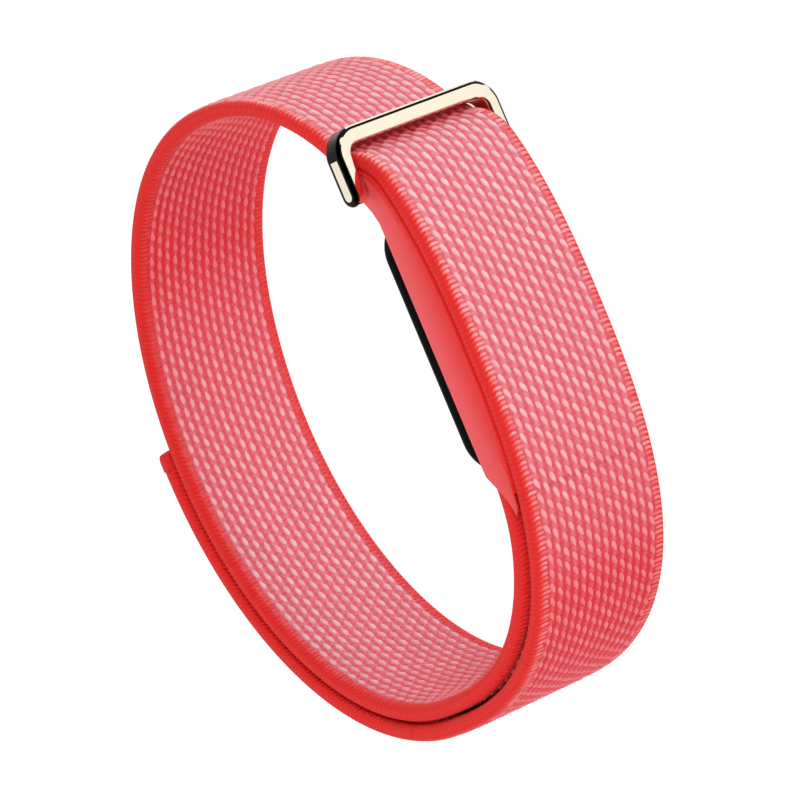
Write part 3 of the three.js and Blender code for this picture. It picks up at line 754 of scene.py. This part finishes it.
# ---- strap pieces ----
hook_from = angle_s(TAIL_ANGLES[3])
hook_range = (hook_from, LENGTH)
splits = [angle_s(a) for a in SPLIT_ANGLES]

loop = strap_piece("strap_loop", 0.0, CREASE_S)
top = strap_piece("strap_top", CREASE_S, splits[0])
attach(loop, "band")
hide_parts("strap_wrist_run", "strap_anchor")
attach(top, "band")
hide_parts("strap_top_run")

for i in range(4):
    bend = strap_piece(f"strap_bend_{i + 1}", splits[i], splits[i + 1],
                       skip_inside=hook_range if i == 3 else None)
    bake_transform(bend)
    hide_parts(f"strap_tail_{i + 1}")
tail_end = strap_piece("strap_tail_end", splits[4], LENGTH, skip_inside=hook_range)
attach(tail_end, "tail_d")
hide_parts("strap_tail_4")


def add_swept(mesh, outline, along, faces):
    """Repeats an outline (across, out) at each place along the strap."""
    s = np.repeat(along, len(outline))
    y = np.tile(outline[:, 0], len(along))
    n = np.tile(outline[:, 1], len(along))
    mesh.add(on_strap(s, y, n), faces, 0.0, 0, np.column_stack([s, y]))


def carrier_lip(s0, s1):
    """The moulding's soft upper rim, which closes the gap under the strap's top run."""
    along = np.linspace(s0, s1, 120)
    half = HALF_WIDTH - 0.01
    turn = np.radians(np.linspace(0, 90, 5))
    right = np.column_stack([
        half - LIP_CORNER + LIP_CORNER * np.sin(turn),
        LIP_TOP + LIP_CORNER * np.cos(turn),
    ])
    outline = np.vstack([right, [[half, LIP_DEPTH], [-half, LIP_DEPTH]], (right * [-1, 1])[::-1]])
    count = len(outline)
    last = (len(along) - 1) * count
    faces = [f[::-1] for f in grid_faces(len(along), count, closed=True)]
    faces += [tuple(range(count)), tuple(last + i for i in range(count))[::-1]]
    mesh = Mesh()
    add_swept(mesh, outline, along, faces)
    return mesh.build("carrier_lip", [lip_red])


def carrier_cheeks():
    """The thin ends of the carrier's side walls, which lap over the strap's sewn end."""
    mesh = Mesh()
    count = len(CHEEK)
    for side in (1, -1):
        levels = [side * (HALF_WIDTH - CHEEK_DEPTH), side * (HALF_WIDTH + CHEEK_PROUD)]
        points = np.array([[x, level, z] for level in levels for x, z in CHEEK])
        faces = [(i, (i + 1) % count, count + (i + 1) % count, count + i) for i in range(count)]
        faces += [tuple(range(count))[::-1], tuple(range(count, 2 * count))]
        if side > 0:
            faces = [f[::-1] for f in faces]
        mesh.add(to_row(points), faces, 0.0, 0, np.zeros((2 * count, 2)))
    cheeks = mesh.build("carrier_cheeks", [coral])
    for polygon in cheeks.data.polygons:
        polygon.use_smooth = False
    return cheeks


lip = carrier_lip(CREASE_S + LIP_REACH[0], CREASE_S + LIP_REACH[1])
cheeks = carrier_cheeks()
for piece in (lip, cheeks):
    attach(piece, "band")


def tail_binding():
    """The smooth sewn tip: a half-round nose right across the strap's end."""
    mesh = Mesh()
    across = np.linspace(-1, 1, 46)
    turn = np.radians(np.linspace(-90, 90, 15))
    profile = np.vstack([[[0, -1.0]], np.column_stack([NOSE + np.cos(turn), np.sin(turn)]), [[0, 1.0]]])
    half = THICKNESS / 2 - TIP_THINNER
    inset = 0.35 * np.abs(across) ** 14
    s = LENGTH + (profile[:, 0] * (1 - 0.12 * np.abs(across[:, None]) ** 10)).ravel()
    y = np.repeat(across * (HALF_WIDTH - TIP_NARROWER), len(profile))
    n = (profile[:, 1] * (half * (1 - inset))[:, None]).ravel()
    faces = grid_faces(len(across), len(profile))
    last = (len(across) - 1) * len(profile)
    faces.append(tuple(range(len(profile)))[::-1])
    faces.append(tuple(last + i for i in range(len(profile))))
    mesh.add(on_strap(s, y, n), faces, 0.0, 0, np.column_stack([s, y]))
    return mesh.build("tail_binding", [slot_looks["sewn_edge"]])


def tube_faces(rings, sides):
    """A tube's sides and both its end caps."""
    last = (rings - 1) * sides
    caps = [tuple(range(sides))[::-1], tuple(range(last, last + sides))]
    return grid_faces(rings, sides, closed=True) + caps


def hook_pad(s0, s1, half):
    """The hook tape under the tail's last stretch: a thin base with rows of bent hooks."""
    mesh = Mesh()
    along = np.linspace(s0, s1, 40)
    base = np.array([[-half, TAPE_TOP], [half, TAPE_TOP], [half, TAPE_BOTTOM], [-half, TAPE_BOTTOM]])
    add_swept(mesh, base, along, tube_faces(len(along), len(base)))
    around = np.radians(np.arange(0, 360, 360 / HOOK_SIDES))
    lean, rise = np.repeat(HOOK_LEAN, HOOK_SIDES), np.repeat(HOOK_RISE, HOOK_SIDES)
    round_s = HOOK_RADIUS * np.tile(np.cos(around), len(HOOK_LEAN))
    round_y = HOOK_RADIUS * np.tile(np.sin(around), len(HOOK_LEAN))
    hook = tube_faces(len(HOOK_LEAN), HOOK_SIDES)
    for i, row in enumerate(np.arange(s0 + HOOK_MARGIN, s1 - HOOK_MARGIN, HOOK_PITCH)):
        way = 1 if i % 2 else -1
        for column in np.arange(HOOK_MARGIN - half, half - HOOK_MARGIN, HOOK_PITCH):
            s = row + way * lean + round_s
            y = column + round_y + HOOK_SHIFT * (i % 2)
            mesh.add(on_strap(s, y, HOOK_FOOT - rise), hook, 0.0, 1, np.column_stack([s, y]))
    return mesh.build("hook_pad", [slot_looks["hook_tape"], hook_stem])


pad = hook_pad(hook_from + TAPE_END_GAP, LENGTH - TAPE_END_GAP, HALF_WIDTH - TAPE_SIDE_GAP)
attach(pad, "tail_d")
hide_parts("hook_tape")

tip = tail_binding()
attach(tip, "tail_d")
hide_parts("tail_tip")


# ---- hard pieces ----
def link(obj):
    """Puts an object in the scene."""
    bpy.context.scene.collection.objects.link(obj)
    return obj


def round_edges(obj, width, segments, angle):
    """Rounds the edges sharper than an angle, by a width in millimetres."""
    bevel = obj.modifiers.new("round", "BEVEL")
    bevel.width = width / 1000
    bevel.segments = segments
    bevel.limit_method = "ANGLE"
    bevel.angle_limit = math.radians(angle)
    bevel.harden_normals = True
    for polygon in obj.data.polygons:
        polygon.use_smooth = True
    return bevel


def refined(node, name, width, material, body, segments=3, angle=30):
    """A copy of a CAD node with its sharp edges rounded."""
    data = frame["nodes"][node].data.copy()
    data.name = name
    bm = bmesh.new()
    bm.from_mesh(data)
    bmesh.ops.remove_doubles(bm, verts=bm.verts, dist=1e-6)
    bmesh.ops.dissolve_limit(bm, angle_limit=math.radians(0.5), verts=bm.verts, edges=bm.edges)
    bm.to_mesh(data)
    bm.free()
    data.materials.clear()
    data.materials.append(material)
    obj = link(bpy.data.objects.new(name, data))
    round_edges(obj, width, segments, angle)
    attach(obj, body)
    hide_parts(node)


glass = slot_looks["window_glass"]
refined("carrier", "carrier_body", 0.12, coral, "band")
refined("pod_cover", "pod_shell", 0.12, piano, "pod", segments=2)
refined("pod_case", "pod_upper", 0.2, piano, "pod")
refined("sensor_window", "window_lens", 0.1, glass, "pod", angle=50)


def arc(cx, cy, r, a0, a1, count=20):
    """Points of a circle's arc between two angles."""
    a = np.radians(np.linspace(a0, a1, count))
    return np.column_stack([cx + r * np.cos(a), cy + r * np.sin(a)])


def prism(outline, low_level, high_level, place):
    """A closed solid from an outline, with place turning (u, v, level) into row-frame points."""
    count = len(outline)
    points = np.vstack([
        place(outline[:, 0], outline[:, 1], np.full(count, level)) for level in (low_level, high_level)
    ])
    faces = [tuple(range(count))[::-1], tuple(range(count, 2 * count))]
    faces += [(i, (i + 1) % count, count + (i + 1) % count, count + i) for i in range(count)]
    data = bpy.data.meshes.new("prism")
    data.from_pydata(points.tolist(), [], faces)
    bm = bmesh.new()
    bm.from_mesh(data)
    bmesh.ops.recalc_face_normals(bm, faces=bm.faces)
    bm.to_mesh(data)
    bm.free()
    return link(bpy.data.objects.new("prism", data))


def bake_modifiers(obj):
    """Makes an object's modifiers part of its mesh."""
    bpy.context.view_layer.update()
    graph = bpy.context.evaluated_depsgraph_get()
    data = bpy.data.meshes.new_from_object(obj.evaluated_get(graph))
    obj.modifiers.clear()
    obj.data = data


def outline_panels(data):
    """A dark rim inside the outline of each arm's flat outer side, as a painted dark reflection."""
    def outside(face):
        level = abs(MIDDLE_Z - face.calc_center_median().z * 1000)
        return abs(face.normal.z) > 0.99 and level > ARM_OUT - 0.1

    bm = bmesh.new()
    bm.from_mesh(data)
    panels = [face for face in bm.faces if outside(face)]
    rim = bmesh.ops.inset_region(bm, faces=panels, thickness=PANEL_RIM / 1000, use_even_offset=True)
    for face in rim["faces"]:
        face.material_index = DARK_REFLECTION
    bm.to_mesh(data)
    bm.free()


def ring_plan():
    """The ring seen from above: a bar with an arm at each end, left open past the arms' ends."""
    corner, inner = RING_CORNER, RING_INNER_CORNER
    far = ARM_END + 1
    return np.vstack([
        [[far, -ARM_OUT], [far, -ARM_IN]],
        arc(BAR_RIGHT + inner, inner - ARM_IN, inner, 270, 180),
        arc(BAR_RIGHT + inner, ARM_IN - inner, inner, 180, 90),
        [[far, ARM_IN], [far, ARM_OUT]],
        arc(BAR_LEFT + corner, ARM_OUT - corner, corner, 90, 180),
        arc(BAR_LEFT + corner, corner - ARM_OUT, corner, 180, 270),
    ])


def ring_side():
    """The ring seen from its side, larger than it but for the arms' round ends."""
    x, level = PIN
    low_edge, high_edge, far = level - RING_HALF, level + RING_HALF, BAR_LEFT - 1
    return np.vstack([
        [[far, low_edge - 1], [x, low_edge - 1], [x, low_edge]],
        arc(x, level, RING_HALF, -90, 90, 25)[1:-1],
        [[x, high_edge], [x, high_edge + 1], [far, high_edge + 1]],
    ])


def colour_ring(data):
    """Painted dark reflection where the ring's edges turn away, painted shade and reflection of the red strap
    inside its corners by the bar, and bright elsewhere.
    """
    for polygon in data.polygons:
        x, _, z = polygon.center * 1000
        out, up, across = -polygon.normal.x, -polygon.normal.y, abs(polygon.normal.z)
        drawn_x, drawn_y = MIDDLE_X - x, abs(MIDDLE_Z - z)
        inside = drawn_x > BAR_LEFT + BAR_WIDTH / 2 and drawn_y < (ARM_IN + ARM_OUT) / 2
        if inside:
            by_bar = drawn_x < BAR_RIGHT + RING_INNER_CORNER
            polygon.material_index = SHADED if up < 0.3 and by_bar else BRIGHT
        elif out < -0.03 and across > 0.35 and abs(up) < 0.5:
            polygon.material_index = DARK_REFLECTION
        elif out < -0.2 and across < 0.2:
            polygon.material_index = DARK_REFLECTION if 0.8 < up < 0.995 else BRIGHT


def slide_ring():
    """The ring: its plan cut by its side view, with rounded edges and three materials: bright gold, a painted
    dark reflection and painted shade.
    """
    level = PIN[1]
    solid = prism(ring_plan(), level - RING_HALF, level + RING_HALF,
                  lambda u, v, w: to_row(np.column_stack([u, v, w])))
    cutter = prism(ring_side(), -20, 20, lambda u, v, w: to_row(np.column_stack([u, w, v])))
    both = solid.modifiers.new("ends", "BOOLEAN")
    both.operation = "INTERSECT"
    both.object = cutter
    both.solver = "EXACT"
    bake_modifiers(solid)
    bpy.data.objects.remove(cutter)
    solid.name = "ring_frame"
    solid.data.name = "ring_frame"
    solid.data.materials.clear()
    solid.data.materials.append(gold)
    solid.data.materials.append(dark_reflection)
    bevel = round_edges(solid, RING_ROUNDING, 5, 40)
    # The rounded edges take the painted dark reflection.
    bevel.material = DARK_REFLECTION
    bake_modifiers(solid)
    solid.data.materials.append(gold_shade)
    colour_ring(solid.data)
    outline_panels(solid.data)
    return solid


ring = slide_ring()
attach(ring, "ring")
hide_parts("slide_ring")

# ---- floor, lights, camera ----
FLOOR_HALF = 3
FLOOR_LEVEL = -0.0002
FLOOR_GREY = 0.15
FLOOR_GLOW = 0.95
ROOM_GLOW = 0.96
# The camera's own directions and the point it looks at, drawn in millimetres.
BACK = Vector((0.0167, -0.6124, 0.7903))
RIGHT = Vector((0.3867, 0.7326, 0.5594))
UP = Vector((-0.9216, 0.2962, 0.2491))
TARGET = Vector((-5.333, 0, 8.535))
DISTANCE = 534.13
TURN_RIGHT = 0.00128
TURN_UP = 0.01487
LENS = 234.5
SENSOR = 36


def drawn_direction(x, y, z):
    """A drawn direction in the row frame."""
    return Vector((-x, -z, -y))


def pale_floor():
    """A wide plane that glows almost white and takes a faint shadow."""
    corners = [(x * FLOOR_HALF, y * FLOOR_HALF, FLOOR_LEVEL) for x, y in ((-1, -1), (1, -1), (1, 1), (-1, 1))]
    data = bpy.data.meshes.new("floor")
    data.from_pydata(corners, [], [(0, 1, 2, 3)])
    material, _, _, shader = new_material("pale_floor")
    shader.inputs["Base Color"].default_value = (FLOOR_GREY, FLOOR_GREY, FLOOR_GREY, 1)
    shader.inputs["Roughness"].default_value = 0.9
    shader.inputs["Specular IOR Level"].default_value = 0.0
    shader.inputs["Emission Color"].default_value = WHITE
    shader.inputs["Emission Strength"].default_value = FLOOR_GLOW
    data.materials.append(material)
    link(bpy.data.objects.new("floor", data))


def studio_world():
    """A white room that is dark round the camera, so that polished metal has something to reflect."""
    world = bpy.data.worlds.new("studio")
    bpy.context.scene.world = world
    world.use_nodes = True
    nodes, links = world.node_tree.nodes, world.node_tree.links
    background = nodes["Background"]
    place = nodes.new("ShaderNodeTexCoord")
    dot = nodes.new("ShaderNodeVectorMath")
    dot.operation = "DOT_PRODUCT"
    links.new(place.outputs["Generated"], dot.inputs[0])
    dot.inputs[1].default_value = drawn_direction(*BACK)
    shade = ramp(nodes, links, dot.outputs["Value"], [(0.05, WHITE), (0.45, (0.02, 0.02, 0.02, 1))])
    links.new(shade.outputs["Color"], background.inputs["Color"])
    background.inputs["Strength"].default_value = ROOM_GLOW


def area_light(name, direction, distance, size, power):
    """A square soft light that shines at the band's middle from a drawn direction."""
    data = bpy.data.lights.new(name, "AREA")
    data.size = size
    data.energy = power
    obj = link(bpy.data.objects.new(name, data))
    way = drawn_direction(*direction).normalized()
    obj.location = way * distance + Vector((0, 0, 0.01))
    obj.rotation_mode = "QUATERNION"
    obj.rotation_quaternion = way.to_track_quat("Z", "Y")
    obj.visible_glossy = False


def place_camera():
    """A long lens that looks down along the strap, with its frame turned a little off the target."""
    data = bpy.data.cameras.new("camera")
    data.lens = LENS
    data.sensor_width = SENSOR
    data.clip_start = 0.01
    data.clip_end = 10
    camera = link(bpy.data.objects.new("camera", data))
    eye = TARGET + DISTANCE * BACK
    back = (BACK + TURN_RIGHT * RIGHT + TURN_UP * UP).normalized()
    side = UP.cross(back).normalized()
    turn = Matrix([drawn_direction(*v) for v in (side, back.cross(side), back)]).transposed()
    camera.matrix_world = Matrix.Translation(Vector(to_row([list(eye)])[0])) @ turn.to_4x4()
    bpy.context.scene.camera = camera


pale_floor()
studio_world()
area_light("key", (-0.5, -0.55, 1.0), distance=0.6, size=0.35, power=1.8)
area_light("fill", (0.6, -0.9, 0.3), distance=0.7, size=0.4, power=2.3)
place_camera()
bpy.context.scene.view_settings.view_transform = "Standard"
